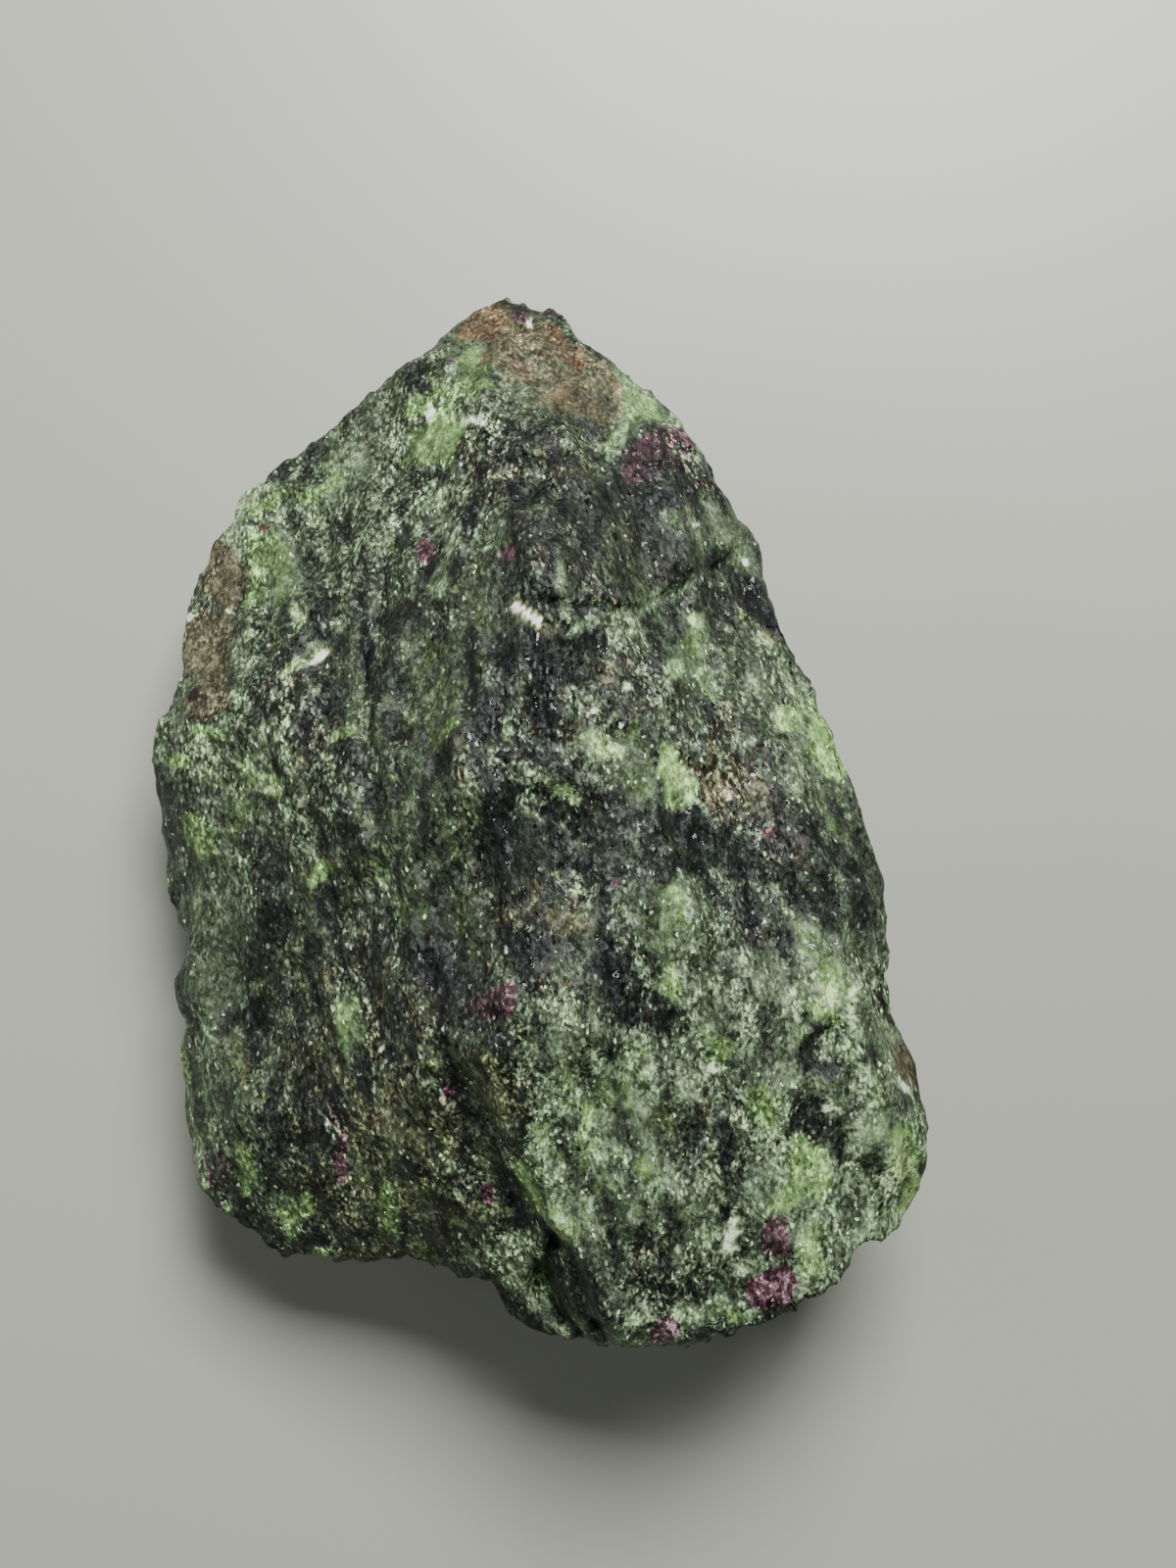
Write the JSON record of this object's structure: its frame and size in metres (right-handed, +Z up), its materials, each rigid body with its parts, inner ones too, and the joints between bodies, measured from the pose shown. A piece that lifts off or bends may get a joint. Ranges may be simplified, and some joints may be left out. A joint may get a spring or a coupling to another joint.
{
  "type": "rough ruby in zoisite stone",
  "caption": "Rough broken piece of ruby in zoisite: green rock with black hornblende and purple-red ruby grains, pointed at one end, lying on its flattest side.",
  "frame": {"origin": "on the surface that the stone rests on, under the middle of its box", "axes": "+Z up from the resting face, +Y along the stone's length towards its pointed end, +X to the right seen from above"},
  "size_m": [0.0798, 0.1066, 0.0461],
  "materials": {
    "rock": "satin"
  },
  "bodies": {
    "root": {"ruby_in_zoisite": "rock"}
  },
  "joints": []
}
